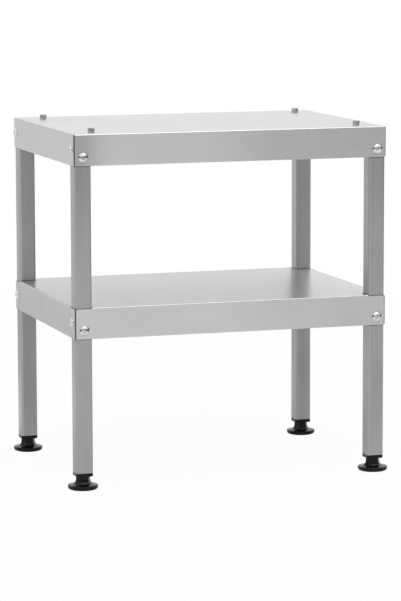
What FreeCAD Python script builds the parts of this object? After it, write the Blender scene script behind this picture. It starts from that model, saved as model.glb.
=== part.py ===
import FreeCAD, Part
import math
import os

# Two-tier stand of folded sheet and square tube, on levelling feet.
# Millimetres, +Z up, front towards -Y. The origin is on the floor, under the middle of the stand.

# Whole stand
STAND_WIDTH = 420.0
STAND_DEPTH = 305.0
TOP_HEIGHT = 455.0
SHELF_HEIGHT = 235.0

# Folded sheets: the top tray and the lower shelf
SHEET = 1.0
BEND_INSIDE = 0.5
APRON_HEIGHT = 40.0
APRON_CORNER = 2.5
NOTCH_CLEARANCE = 0.5
NOTCH_CORNER = 1.5

# Square-tube legs
LEG_SIDE = 22.0
LEG_WALL = 1.5
LEG_CORNER = 3.0

# Apron screws, and the threaded inserts set in the tube walls
SCREW_DIAMETER = 6.0
SCREW_HEAD_DIAMETER = 12.0
SCREW_HEAD_HEIGHT = 3.4
SCREW_CROWN_DIAMETER = 8.0
SCREW_HOLE_CLEARANCE = 0.3
SCREW_END_GAP = 1.5
SIDE_SCREW_ABOVE_MIDDLE = 0.7
INSERT_ACROSS_FLATS = 9.0
INSERT_COLLAR = 1.5
INSERT_COLLAR_LENGTH = 2.0
INSERT_END_GAP = 7.0
INSERT_SPACING = 1.0
THREAD_CLEARANCE = 0.05

# Locating pins on the top
PIN_DIAMETER = 9.0
PIN_HEIGHT = 6.0
PIN_CHAMFER = 0.4
PIN_NECK_RELIEF = 0.25
PIN_HEAD_LIP = 1.5
PIN_HEAD_HEIGHT = 1.5
PIN_FROM_SIDE = 31.0
PIN_FROM_FRONT = 28.5
PIN_FROM_REAR = 38.5
PIN_CLEARANCE = 0.05

# Plugs in the lower ends of the legs, with a nut moulded into each
PLUG_FLANGE = 4.2
PLUG_DEPTH = 20.0
PLUG_FIN_COUNT = 3
PLUG_FIN_DEPTH = 0.45
PLUG_FIN_HEIGHT = 1.2
PLUG_CLEARANCE = 0.05
PLUG_WALL = 1.5
PLUG_BORE_CLEARANCE = 0.5
NUT_HEIGHT = 6.5
NUT_FLOOR = 4.0

# Levelling feet
FOOT_HEIGHT = 17.3
FOOT_DIAMETER = 39.0
FOOT_SOLE_DIAMETER = 30.0
FOOT_SOLE_RISE = 3.2
FOOT_RIM = 2.8
FOOT_CROWN = 1.0
FOOT_FLOOR = 2.5
FOOT_GAP = 0.3
FOOT_TRAVEL = 15.0
NECK_ACROSS_FLATS = 15.5
FLARE_SPREAD = 3.6
FLARE_HEIGHT = 5.6
STUD_DIAMETER = 8.0
STUD_HEAD_DIAMETER = 11.0
STUD_HEAD_HEIGHT = 4.0
STUD_CLEARANCE = 0.05
STUD_SPARE = 1.0

# Sizes that follow from the driving dimensions
BEND_OUTSIDE = BEND_INSIDE + SHEET
SEAM = BEND_OUTSIDE
NOTCH = SHEET + LEG_SIDE + NOTCH_CLEARANCE
LEG_X = STAND_WIDTH / 2 - SHEET - LEG_SIDE / 2
LEG_Y = STAND_DEPTH / 2 - SHEET - LEG_SIDE / 2
LEG_BOTTOM = FOOT_HEIGHT + FOOT_GAP + PLUG_FLANGE
LEG_TOP = TOP_HEIGHT - BEND_OUTSIDE
TUBE_BORE = LEG_SIDE - 2 * LEG_WALL
SCREW_ROW_STEP = INSERT_ACROSS_FLATS + INSERT_SPACING
SIDE_SCREW_DROP = APRON_HEIGHT / 2 - SIDE_SCREW_ABOVE_MIDDLE
FRONT_SCREW_DROP = SIDE_SCREW_DROP + SCREW_ROW_STEP
SCREW_HOLE_RADIUS = SCREW_DIAMETER / 2 + SCREW_HOLE_CLEARANCE
INSERT_LENGTH = LEG_SIDE - LEG_WALL - INSERT_END_GAP
PLUG_BODY = TUBE_BORE - 2 * PLUG_CLEARANCE - 2 * PLUG_FIN_DEPTH
PLUG_BOTTOM = FOOT_HEIGHT + FOOT_GAP
NUT_ACROSS_FLATS = (PLUG_BODY - 2 * PLUG_WALL) * math.cos(math.radians(30))
NUT_BOTTOM = PLUG_BOTTOM + NUT_FLOOR
STUD_BORE_RADIUS = STUD_DIAMETER / 2 + STUD_CLEARANCE
STUD_TOP = NUT_BOTTOM + NUT_HEIGHT + FOOT_TRAVEL + STUD_SPARE

# Corner names with the signs of X and Y there
CORNERS = {
    "front_left": (-1, -1),
    "front_right": (1, -1),
    "rear_left": (-1, 1),
    "rear_right": (1, 1),
}
TIERS = {"top": TOP_HEIGHT, "shelf": SHELF_HEIGHT}

ORIGIN = FreeCAD.Vector(0, 0, 0)
UP = FreeCAD.Vector(0, 0, 1)


def on_section(point):
    """A point of a half section, given as radius (or X) and height."""
    return FreeCAD.Vector(point[0], 0, point[1])


def on_arc(centre, radius, degrees):
    """A point of the half section at an angle on a circle."""
    angle = math.radians(degrees)
    return (centre[0] + radius * math.cos(angle), centre[1] + radius * math.sin(angle))


def section(start, *spans):
    """Face in the XZ plane. A span is an end point, or the middle and end points of an arc."""
    edges = []
    here = start
    for span in spans + (start,):
        if isinstance(span[0], tuple):
            middle, end = span
            curve = Part.Arc(on_section(here), on_section(middle), on_section(end))
        else:
            end = span
            curve = Part.LineSegment(on_section(here), on_section(end))
        edges.append(curve.toShape())
        here = end
    return Part.Face(Part.Wire(edges))


def lathe(start, *spans):
    """Solid turned about Z from a half section."""
    return section(start, *spans).revolve(ORIGIN, UP, 360)


def square(side, bottom, top):
    """Upright square prism about Z."""
    return Part.makeBox(side, side, top - bottom, FreeCAD.Vector(-side / 2, -side / 2, bottom))


def rounded_square(side, corner, bottom, top):
    """Upright square prism about Z with rounded edges."""
    block = square(side, bottom, top)
    uprights = [edge for edge in block.Edges if edge.BoundBox.ZLength > corner]
    return block.makeFillet(corner, uprights)


def hexagon(across_flats, bottom, top):
    """Upright hexagonal prism about Z, with two corners on X."""
    radius = across_flats / 2 / math.cos(math.radians(30))
    points = [on_arc((0, 0), radius, 60 * index) for index in range(7)]
    wire = Part.makePolygon([FreeCAD.Vector(x, y, bottom) for x, y in points])
    return Part.Face(wire).extrude(UP * (top - bottom))


def moved(shape, x, y, z=0.0):
    """Copy of a shape shifted by x, y and z."""
    return shape.translated(FreeCAD.Vector(x, y, z))


def facing(shape, place, outward):
    """Copy of a shape turned about Z, with its Z axis along outward and its origin at place."""
    copy = shape.copy()
    copy.Placement = FreeCAD.Placement(place, FreeCAD.Rotation(UP, outward))
    return copy


def screw_rows(surface):
    """Places and outward directions of a tier's apron screws: front and rear rows, then sides."""
    front_rear = []
    sides = []
    for side_x, side_y in CORNERS.values():
        front_rear.append((
            FreeCAD.Vector(side_x * LEG_X, side_y * STAND_DEPTH / 2, surface - FRONT_SCREW_DROP),
            FreeCAD.Vector(0, side_y, 0),
        ))
        sides.append((
            FreeCAD.Vector(side_x * STAND_WIDTH / 2, side_y * LEG_Y, surface - SIDE_SCREW_DROP),
            FreeCAD.Vector(side_x, 0, 0),
        ))
    return front_rear, sides


def pin_places():
    """X and Y of the locating pins, by corner."""
    places = {}
    for name, (side_x, side_y) in CORNERS.items():
        from_edge = PIN_FROM_FRONT if side_y < 0 else PIN_FROM_REAR
        places[name] = (side_x * (STAND_WIDTH / 2 - PIN_FROM_SIDE), side_y * (STAND_DEPTH / 2 - from_edge))
    return places


def apron(surface, span, length, fold_length):
    """Right-hand apron with its bend: span is the sheet's width there, length runs along Y.

    Where the bend is shorter than the apron, the ends stand free as tabs with rounded corners.
    """
    outer = span / 2
    inner = outer - SHEET
    low = surface - APRON_HEIGHT
    high = surface - BEND_OUTSIDE
    plate = Part.makeBox(SHEET, length, high - low, FreeCAD.Vector(inner, -length / 2, low))
    across = [edge for edge in plate.Edges if edge.BoundBox.XLength > SHEET / 2]
    rounded = [edge for edge in across if edge.BoundBox.ZMax < surface - APRON_HEIGHT / 2]
    if fold_length < length:
        rounded = across
    plate = plate.makeFillet(APRON_CORNER, rounded)

    centre = (outer - BEND_OUTSIDE, high)
    bend = section(
        on_arc(centre, BEND_OUTSIDE, 90),
        (on_arc(centre, BEND_OUTSIDE, 45), (outer, high)),
        (inner, high),
        (on_arc(centre, BEND_INSIDE, 45), on_arc(centre, BEND_INSIDE, 90)),
    )
    bend = moved(bend, 0, -fold_length / 2).extrude(FreeCAD.Vector(0, fold_length, 0))
    return plate.fuse(bend)


def folded_sheet(surface, fold_inset):
    """Panel with four aprons bent down from it; the bends stop fold_inset from the outer corners."""
    panel_x = STAND_WIDTH - 2 * BEND_OUTSIDE
    panel_y = STAND_DEPTH - 2 * BEND_OUTSIDE
    panel = Part.makeBox(panel_x, panel_y, SHEET, FreeCAD.Vector(-panel_x / 2, -panel_y / 2, surface - SHEET))
    aprons = []
    for quarter in range(4):
        span, other = (STAND_WIDTH, STAND_DEPTH) if quarter % 2 == 0 else (STAND_DEPTH, STAND_WIDTH)
        side = apron(surface, span, other - 2 * SEAM, other - 2 * fold_inset)
        side.rotate(ORIGIN, UP, 90 * quarter)
        aprons.append(side)
    sheet = panel.multiFuse(aprons)

    front_rear, sides = screw_rows(surface)
    drills = []
    for place, outward in front_rear + sides:
        drills.append(Part.makeCylinder(SCREW_HOLE_RADIUS, 2 * SHEET, place + outward * (SHEET / 2), outward * -1))
    return sheet.cut(drills).removeSplitter()


def top_tray():
    """Folded top with the holes that its locating pins stand up through."""
    tray = folded_sheet(TOP_HEIGHT, SEAM)
    radius = PIN_DIAMETER / 2 + PIN_CLEARANCE
    drill = Part.makeCylinder(radius, 3 * SHEET, FreeCAD.Vector(0, 0, TOP_HEIGHT - 2 * SHEET))
    return tray.cut([moved(drill, x, y) for x, y in pin_places().values()])


def lower_shelf():
    """Folded shelf, notched at the corners so that the legs pass up behind its aprons."""
    shelf = folded_sheet(SHELF_HEIGHT, NOTCH)
    side = 2 * (NOTCH - SHEET)
    cutter = rounded_square(side, NOTCH_CORNER, SHELF_HEIGHT - BEND_OUTSIDE, SHELF_HEIGHT + SHEET)
    corner_x = STAND_WIDTH / 2 - SHEET
    corner_y = STAND_DEPTH / 2 - SHEET
    return shelf.cut([moved(cutter, x * corner_x, y * corner_y) for x, y in CORNERS.values()])


def leg(side_x, side_y):
    """Square tube with the hexagonal holes for its threaded inserts in the two outer walls."""
    tube = rounded_square(LEG_SIDE, LEG_CORNER, LEG_BOTTOM, LEG_TOP)
    punch = hexagon(INSERT_ACROSS_FLATS + 2 * THREAD_CLEARANCE, 0, LEG_SIDE)
    cuts = [square(TUBE_BORE, 0, LEG_TOP)]
    for surface in TIERS.values():
        for outward, drop in (
            (FreeCAD.Vector(0, side_y, 0), FRONT_SCREW_DROP),
            (FreeCAD.Vector(side_x, 0, 0), SIDE_SCREW_DROP),
        ):
            cuts.append(facing(punch, FreeCAD.Vector(0, 0, surface - drop), outward))
    return moved(tube.cut(cuts), side_x * LEG_X, side_y * LEG_Y)


def insert_form():
    """Hexagonal threaded insert: flush outside the tube wall, with the collar that clamps it inside."""
    shank = hexagon(INSERT_ACROSS_FLATS, -INSERT_LENGTH, 0)
    collar = hexagon(INSERT_ACROSS_FLATS + 2 * INSERT_COLLAR, -LEG_WALL - INSERT_COLLAR_LENGTH, -LEG_WALL)
    radius = SCREW_DIAMETER / 2 + THREAD_CLEARANCE
    bore = Part.makeCylinder(radius, INSERT_LENGTH, FreeCAD.Vector(0, 0, -INSERT_LENGTH))
    return shank.fuse(collar).cut(bore).removeSplitter()


def leg_inserts(side_x, side_y):
    """The four threaded inserts of one leg."""
    form = insert_form()
    inserts = []
    for surface in TIERS.values():
        for row in screw_rows(surface):
            for place, outward in row:
                if place.x * side_x > 0 and place.y * side_y > 0:
                    inserts.append(facing(form, place - outward * SHEET, outward))
    return Part.makeCompound(inserts)


def screw_form():
    """Pan-head screw along Z, its head seated on the XY plane and its shank below."""
    head = SCREW_HEAD_DIAMETER / 2
    shank = SCREW_DIAMETER / 2
    tip = -(SHEET + INSERT_LENGTH - SCREW_END_GAP)
    return lathe(
        (0, tip),
        (shank, tip),
        (shank, 0),
        (head, 0),
        (SCREW_CROWN_DIAMETER / 2, SCREW_HEAD_HEIGHT),
        (0, SCREW_HEAD_HEIGHT),
    )


def screw_group(rows):
    """One row of screws as a group of separate solids."""
    form = screw_form()
    return Part.makeCompound([facing(form, place, outward) for place, outward in rows])


def locating_pin():
    """Pin pressed up through the top: its head bears under the sheet, and its neck in the hole is relieved."""
    radius = PIN_DIAMETER / 2
    neck = radius - PIN_NECK_RELIEF
    head = radius + PIN_HEAD_LIP
    underside = TOP_HEIGHT - SHEET
    tip = TOP_HEIGHT + PIN_HEIGHT
    return lathe(
        (0, underside - PIN_HEAD_HEIGHT),
        (head, underside - PIN_HEAD_HEIGHT),
        (head, underside),
        (neck, underside),
        (neck, TOP_HEIGHT),
        (radius, TOP_HEIGHT),
        (radius, tip - PIN_CHAMFER),
        (radius - PIN_CHAMFER, tip),
        (0, tip),
    )


def leg_plug():
    """Finned insert with a flange that closes the tube, moulded round a nut."""
    top = LEG_BOTTOM + PLUG_DEPTH
    flange = rounded_square(LEG_SIDE, LEG_CORNER, PLUG_BOTTOM, LEG_BOTTOM)
    body = square(PLUG_BODY, PLUG_BOTTOM, top)
    pitch = PLUG_DEPTH / PLUG_FIN_COUNT
    fin_side = PLUG_BODY + 2 * PLUG_FIN_DEPTH
    fins = []
    for index in range(PLUG_FIN_COUNT):
        fin_top = LEG_BOTTOM + (index + 0.5) * pitch + PLUG_FIN_HEIGHT / 2
        fins.append(square(fin_side, fin_top - PLUG_FIN_HEIGHT, fin_top))
    bore = Part.makeCylinder(STUD_DIAMETER / 2 + PLUG_BORE_CLEARANCE, top)
    pocket = hexagon(NUT_ACROSS_FLATS, NUT_BOTTOM, NUT_BOTTOM + NUT_HEIGHT)
    return flange.multiFuse([body] + fins).cut([bore, pocket]).removeSplitter()


def plug_nut():
    """Hexagonal nut that a foot's stud turns in."""
    nut = hexagon(NUT_ACROSS_FLATS, NUT_BOTTOM, NUT_BOTTOM + NUT_HEIGHT)
    return nut.cut(Part.makeCylinder(STUD_BORE_RADIUS, STUD_TOP))


def foot_stud():
    """Threaded stud with a round head that the foot is moulded round."""
    radius = STUD_DIAMETER / 2
    head = STUD_HEAD_DIAMETER / 2
    head_bottom = FOOT_FLOOR + STUD_CLEARANCE
    head_top = head_bottom + STUD_HEAD_HEIGHT
    return lathe(
        (0, head_bottom),
        (head, head_bottom),
        (head, head_top),
        (radius, head_top),
        (radius, STUD_TOP),
        (0, STUD_TOP),
    )


def foot_base():
    """Moulded foot: a bowl-edged disc that flares up into a hexagonal neck round the stud."""
    sole = FOOT_SOLE_DIAMETER / 2
    rim = FOOT_DIAMETER / 2
    rim_top = FOOT_SOLE_RISE + FOOT_RIM
    crown = rim_top + FOOT_CROWN
    neck = NECK_ACROSS_FLATS / 2
    flare_radius = (FLARE_SPREAD ** 2 + FLARE_HEIGHT ** 2) / (2 * FLARE_SPREAD)
    flare_centre = (neck + flare_radius, crown + FLARE_HEIGHT)
    flare_middle = 180 + math.degrees(math.asin(FLARE_HEIGHT / flare_radius)) / 2
    bowl_middle = (
        sole + (rim - sole) * math.sin(math.radians(45)),
        FOOT_SOLE_RISE * (1 - math.cos(math.radians(45))),
    )
    disc = lathe(
        (0, 0),
        (sole, 0),
        bowl_middle,
        (rim, FOOT_SOLE_RISE),
        (rim, rim_top),
        (neck + FLARE_SPREAD, crown),
        (on_arc(flare_centre, flare_radius, flare_middle), (neck, crown + FLARE_HEIGHT)),
        (neck, FOOT_HEIGHT),
        (0, FOOT_HEIGHT),
    )
    hexagonal_neck = hexagon(NECK_ACROSS_FLATS, crown, FOOT_HEIGHT)
    bore = Part.makeCylinder(STUD_BORE_RADIUS, FOOT_HEIGHT, FreeCAD.Vector(0, 0, FOOT_FLOOR))
    pocket = Part.makeCylinder(
        STUD_HEAD_DIAMETER / 2 + STUD_CLEARANCE,
        STUD_HEAD_HEIGHT + 2 * STUD_CLEARANCE,
        FreeCAD.Vector(0, 0, FOOT_FLOOR),
    )
    return disc.fuse(hexagonal_neck).cut([bore, pocket]).removeSplitter()


def stand():
    """Every piece of the stand by its node's name."""
    pieces = {"top_tray": top_tray(), "lower_shelf": lower_shelf()}
    for tier, surface in TIERS.items():
        front_rear, sides = screw_rows(surface)
        pieces[f"{tier}_front_rear_screws"] = screw_group(front_rear)
        pieces[f"{tier}_side_screws"] = screw_group(sides)
    pins = pin_places()
    for corner, (side_x, side_y) in CORNERS.items():
        pieces[f"leg_{corner}"] = leg(side_x, side_y)
        pieces[f"leg_inserts_{corner}"] = leg_inserts(side_x, side_y)
        pieces[f"locating_pin_{corner}"] = moved(locating_pin(), *pins[corner])
        for name, form in (
            ("leg_plug", leg_plug),
            ("plug_nut", plug_nut),
            ("foot_stud", foot_stud),
            ("foot_base", foot_base),
        ):
            pieces[f"{name}_{corner}"] = moved(form(), side_x * LEG_X, side_y * LEG_Y)
    return pieces


os.makedirs("parts", exist_ok=True)
for node, shape in stand().items():
    shape.exportStep(f"parts/{node}.step")
    print(node, len(shape.Solids), "solid(s)", round(shape.Volume, 1), "mm3", "valid" if shape.isValid() else "BAD")
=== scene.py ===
"""Looks of a two-tier smoker stand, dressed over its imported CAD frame.

Lengths are in metres in the frame of the CAD model: +Z is up, the front is towards -Y and the floor is at Z = 0.
"""
import logging
import math
from dataclasses import dataclass
from enum import Enum
from typing import Iterator, Optional, Sequence, Union

import bmesh
import bpy
from mathutils import Matrix, Vector


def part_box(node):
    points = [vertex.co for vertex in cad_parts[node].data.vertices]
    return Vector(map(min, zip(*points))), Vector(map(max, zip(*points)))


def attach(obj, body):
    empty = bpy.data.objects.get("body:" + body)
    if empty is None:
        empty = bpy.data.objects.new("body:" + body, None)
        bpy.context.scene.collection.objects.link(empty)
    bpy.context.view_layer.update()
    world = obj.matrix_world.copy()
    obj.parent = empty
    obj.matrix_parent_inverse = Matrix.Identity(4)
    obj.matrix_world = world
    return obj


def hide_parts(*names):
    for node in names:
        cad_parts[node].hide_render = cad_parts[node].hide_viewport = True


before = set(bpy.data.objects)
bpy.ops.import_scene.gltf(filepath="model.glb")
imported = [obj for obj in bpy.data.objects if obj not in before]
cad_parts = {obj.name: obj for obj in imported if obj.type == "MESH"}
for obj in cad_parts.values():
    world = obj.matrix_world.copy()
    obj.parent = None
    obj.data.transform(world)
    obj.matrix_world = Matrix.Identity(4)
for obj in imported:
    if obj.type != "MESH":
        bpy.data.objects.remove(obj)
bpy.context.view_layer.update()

MM = 0.001
UP = Vector((0.0, 0.0, 1.0))
SQUARE = ((1, 1), (-1, 1), (-1, -1), (1, -1))  # signs of X and Y round a square's corners
QUARTER_TURN = 0.25  # in whole turns, as the surface shader takes it
WHITE = (1.0, 1.0, 1.0, 1.0)
WELD_DIGITS = 7  # decimals of a metre to which a sheet's points are welded
BLANK_MAP = "blank"  # UV map of a folded sheet's flat blank
OUTWARD = "outward"  # attribute of the direction that a set-out copy faces
CUT_AND_SHADE = "cut"  # attribute of darkened faces: dull sheared edges, and painted shade in the screws' recesses and along the legs' contact lines
ROOT_BODY = "stand"

log = logging.getLogger("smoker_stand")

Socket = bpy.types.NodeSocket
Value = Union[Socket, float, int, str, tuple]
Inputs = dict[Union[str, int], Value]
Pair = tuple[float, float]
Triple = tuple[float, float, float]
Loop = list[Vector]
SkinPoint = tuple[Vector, Vector, Vector]
Seat = tuple[Vector, Vector]


class Corner(Enum):
    """A corner of the stand, with the signs of X and Y there."""

    FRONT_LEFT = (-1, -1)
    FRONT_RIGHT = (1, -1)
    REAR_LEFT = (-1, 1)
    REAR_RIGHT = (1, 1)

    def named(self, piece: str) -> str:
        """Name of this corner's node or body, such as leg_front_left."""
        return f"{piece}_{self.name.lower()}"


class Side(Enum):
    """A side of the stand, with the direction towards it."""

    FRONT = (0.0, -1.0, 0.0)
    REAR = (0.0, 1.0, 0.0)
    LEFT = (-1.0, 0.0, 0.0)
    RIGHT = (1.0, 0.0, 0.0)
    ABOVE = (0.0, 0.0, 1.0)


class Grain(Enum):
    """Direction of a brushed grain: the number of lines a metre along three texture axes."""

    BLANK_LENGTH = (5.0, 420.0, 1.0)
    UPRIGHT = (420.0, 420.0, 5.0)


class Ends(Enum):
    """How the first and last loops of a loft are closed."""

    CAPPED = "capped"
    JOINED = "joined"


class Graph:
    """A node tree with short ways to add, set and link its nodes."""

    def __init__(self, tree: bpy.types.NodeTree) -> None:
        """Keeps the tree to build in."""
        self.tree = tree

    def add(self, kind: str, inputs: Optional[Inputs] = None, **settings: object) -> bpy.types.Node:
        """Adds a node.

        Args:
            kind: Blender's name of the node's type.
            inputs: what its inputs take, by their names or numbers.
            settings: properties of the node to set.

        Returns:
            The new node.
        """
        node = self.tree.nodes.new(kind)
        for name, value in settings.items():
            setattr(node, name, value)
        for key, value in (inputs or {}).items():
            self.feed(node.inputs[key], value)
        return node

    def feed(self, target: Socket, value: Value) -> None:
        """Links a socket to an input, or sets the input's own value.

        Args:
            target: input socket to fill.
            value: an output socket to link, or a constant.
        """
        if isinstance(value, bpy.types.NodeSocket):
            self.tree.links.new(value, target)
        else:
            target.default_value = value

    def maths(self, operation: str, *values: Value) -> Socket:
        """Result of a Math node's operation on some values."""
        return self.add("ShaderNodeMath", dict(enumerate(values)), operation=operation).outputs[0]


class ShaderGraph(Graph):
    """The node tree of a material or of the world."""

    def object_place(self) -> Socket:
        """The surface point in the piece's own frame, which is the CAD frame."""
        return self.add("ShaderNodeTexCoord").outputs["Object"]

    def noise(self, place: Socket, scales: Sequence[float], detail: float, roughness: float = 0.55) -> Socket:
        """Adds noise that is stretched along the axes with small scales.

        Args:
            place: socket of the texture's coordinates.
            scales: features a metre along the three axes.
            detail: octaves of finer noise.
            roughness: weight of the finer octaves.

        Returns:
            The noise, from 0 to 1 and mostly near 0.5.
        """
        mapping = self.add("ShaderNodeMapping", {"Vector": place, "Scale": tuple(scales)})
        noise = self.add("ShaderNodeTexNoise", {
            "Vector": mapping.outputs["Vector"], "Scale": 1.0, "Detail": detail, "Roughness": roughness,
        })
        return noise.outputs["Fac"]

    def remap(self, value: Socket, results: Pair = (0.0, 1.0), levels: Pair = (0.3, 0.7)) -> Socket:
        """Spreads a span of a value, such as the middle of a noise, over a range.

        Args:
            value: the value.
            results: the range's ends.
            levels: the values that give those ends, and stay at them beyond.

        Returns:
            The new value's socket.
        """
        names = ("From Min", "From Max", "To Min", "To Max")
        node = self.add("ShaderNodeMapRange", {"Value": value, **dict(zip(names, levels + results))})
        return node.outputs["Result"]

    def blend(self, first: Socket, second: Socket, share: float) -> Socket:
        """The two values mixed, with this share of the second."""
        kept = self.maths("MULTIPLY", first, 1.0 - share)
        return self.maths("ADD", kept, self.maths("MULTIPLY", second, share))

    def shades(self, value: Socket, greys: Pair, warmth: float = 0.0) -> Socket:
        """Colours between two greys.

        Args:
            value: position between the greys, from 0 to 1.
            greys: linear greys at 0 and at 1.
            warmth: share of its blue that the second grey lacks.

        Returns:
            The colour's socket.
        """
        dark, light = greys
        ramp = self.add("ShaderNodeValToRGB", {"Fac": value})
        ramp.color_ramp.elements[0].color = (dark, dark, dark, 1.0)
        ramp.color_ramp.elements[1].color = (light, light, (1.0 - warmth) * light, 1.0)
        return ramp.outputs["Color"]

    def dulled_and_shaded(self, colour: Socket, kept: float) -> Socket:
        """Darkens a colour on the faces that the cut attribute marks: dull sheared edges, and painted shade in recesses
        and along the legs' contact lines.

        Args:
            colour: the colour's socket.
            kept: share of the colour that is kept there.

        Returns:
            The darkened colour's socket.
        """
        mark = self.add("ShaderNodeAttribute", attribute_name=CUT_AND_SHADE).outputs["Fac"]
        scale = self.maths("MULTIPLY_ADD", mark, kept - 1.0, 1.0)
        return self.add("ShaderNodeVectorMath", {"Vector": colour, "Scale": scale}, operation="SCALE").outputs["Vector"]

    def bump(self, height: Socket, relief: Pair) -> Socket:
        """Normals of a fine relief, given its height from 0 to 1, and its weight and depth."""
        strength, depth = relief
        return self.add("ShaderNodeBump", {"Strength": strength, "Distance": depth, "Height": height}).outputs["Normal"]

    def shown_ray(self) -> Socket:
        """Tells rays that show the background from light on matt surfaces.

        Returns:
            1 for rays from the camera, and for those that gloss or glass sends on.
        """
        ray = self.add("ShaderNodeLightPath").outputs
        shown = self.maths("MAXIMUM", ray["Is Camera Ray"], ray["Is Glossy Ray"])
        return self.maths("MAXIMUM", shown, ray["Is Transmission Ray"])

    def end(self, shader: Socket) -> None:
        """Ends a material's tree in a shader."""
        self.add("ShaderNodeOutputMaterial", {"Surface": shader})

    def end_veiled(self, shader: Socket, veil: Socket) -> None:
        """Ends a material's tree in a shader of which the veil's share is clear."""
        clear = self.add("ShaderNodeBsdfTransparent").outputs["BSDF"]
        self.end(self.add("ShaderNodeMixShader", {0: veil, 1: shader, 2: clear}).outputs["Shader"])


def blank_material(name: str) -> tuple[bpy.types.Material, ShaderGraph]:
    """Makes an empty material.

    Args:
        name: the material's name.

    Returns:
        The material, and the graph to build it in.
    """
    material = bpy.data.materials.new(name)
    material.use_nodes = True
    material.node_tree.nodes.clear()
    return material, ShaderGraph(material.node_tree)


@dataclass(frozen=True)
class Finish:
    """A procedural finish, made into one shared material.

    Attributes:
        name: the material's name.
        slot: the record's material slot that the finish belongs to; not used.
        greys: linear greys of its darkest and palest marks.
        roughness: its lowest and highest roughness.
        relief: weight and depth of its relief.
    """

    name: str
    slot: str
    greys: Pair
    roughness: Pair
    relief: Pair

    def material(self) -> bpy.types.Material:
        """Builds the finish's material on first use.

        Returns:
            The material.
        """
        made = bpy.data.materials.get(self.name)
        if made is None:
            made, graph = blank_material(self.name)
            graph.end(graph.add("ShaderNodeBsdfPrincipled", self.lay(graph)).outputs["BSDF"])
        return made

    def lay(self, graph: ShaderGraph) -> Inputs:
        """Builds the finish's nodes, and gives what the surface's sockets take."""
        raise NotImplementedError


@dataclass(frozen=True)
class BrushedSteel(Finish):
    """Satin brushed steel with a directional grain.

    Attributes:
        grain: direction of the brush lines.
        cut_edge_and_shade: share of the colour that sheared edges keep, and on the legs the painted shade lines along
            the sheets' edges.
        stretch: how far reflections stretch across the grain, from 0 to 1.
        fineness: fine lines to each broad streak.
        clouds: clouds a metre in the tone and the gloss.
    """

    grain: Grain
    cut_edge_and_shade: float = 0.3
    stretch: float = 0.8
    fineness: float = 6.0
    clouds: float = 9.0

    def lay(self, graph: ShaderGraph) -> Inputs:
        """Lays fine lines over broad streaks, with slow clouds in the gloss.

        Args:
            graph: the material's tree.

        Returns:
            What the surface's sockets take, by their names.
        """
        along = graph.object_place()
        stretch: Inputs = {}
        if self.grain is Grain.BLANK_LENGTH:
            along = graph.add("ShaderNodeUVMap", uv_map=BLANK_MAP).outputs["UV"]
            tangent = graph.add("ShaderNodeTangent", direction_type="UV_MAP", uv_map=BLANK_MAP)
            stretch = {
                "Anisotropic": self.stretch,
                "Anisotropic Rotation": QUARTER_TURN,
                "Tangent": tangent.outputs["Tangent"],
            }
        lines = graph.noise(along, [self.fineness * scale for scale in self.grain.value], detail=4.0, roughness=0.7)
        streaks = graph.noise(along, self.grain.value, detail=3.0)
        clouds = graph.noise(graph.object_place(), (self.clouds,) * 3, detail=2.0)
        brushing = graph.blend(streaks, lines, share=0.5)
        tone = graph.remap(graph.blend(brushing, clouds, share=0.35))
        return {
            "Base Color": graph.dulled_and_shaded(graph.shades(tone, self.greys), self.cut_edge_and_shade),
            "Metallic": 1.0,
            "Roughness": graph.remap(graph.blend(brushing, clouds, share=0.5), self.roughness),
            "Normal": graph.bump(brushing, self.relief),
            **stretch,
        }


@dataclass(frozen=True)
class PlatedSteel(Finish):
    """Bright plated fastener, a little uneven.

    Attributes:
        recess: share of the colour kept in stamped recesses, darkened as painted shade.
        patches: patches of the plating a metre.
        grains: grains of the plating a metre.
        warmth: share of its blue that the bright plating lacks.
    """

    recess: float = 0.95
    patches: float = 350.0
    grains: float = 4000.0
    warmth: float = 0.015

    def lay(self, graph: ShaderGraph) -> Inputs:
        """Lays the plating's patches over fine grain, with painted shade in the recesses.

        Args:
            graph: the material's tree.

        Returns:
            What the surface's sockets take, by their names.
        """
        place = graph.object_place()
        patches = graph.noise(place, (self.patches,) * 3, detail=3.0)
        grains = graph.noise(place, (self.grains,) * 3, detail=2.0)
        plating = graph.shades(graph.remap(patches), self.greys, self.warmth)
        return {
            "Base Color": graph.dulled_and_shaded(plating, self.recess),
            "Metallic": 1.0,
            "Roughness": graph.remap(graph.blend(patches, grains, share=0.4), self.roughness),
            "Normal": graph.bump(grains, self.relief),
        }


@dataclass(frozen=True)
class TurnedSteel(Finish):
    """Steel turned on a lathe, with fine tool rings about the upright axis.

    Attributes:
        rings: rings a metre.
        waver: how often a ring changes along its way, a metre.
        patches: dull patches a metre.
    """

    rings: float = 2600.0
    waver: float = 30.0
    patches: float = 300.0

    def lay(self, graph: ShaderGraph) -> Inputs:
        """Lays tool rings that follow height, with a few dull patches.

        Args:
            graph: the material's tree.

        Returns:
            What the surface's sockets take, by their names.
        """
        place = graph.object_place()
        rings = graph.noise(place, (self.waver, self.waver, self.rings), detail=3.0)
        patches = graph.noise(place, (self.patches,) * 3, detail=2.0)
        return {
            "Base Color": graph.shades(graph.remap(rings), self.greys),
            "Metallic": 1.0,
            "Roughness": graph.remap(graph.blend(rings, patches, share=0.4), self.roughness),
            "Normal": graph.bump(rings, self.relief),
        }


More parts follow.
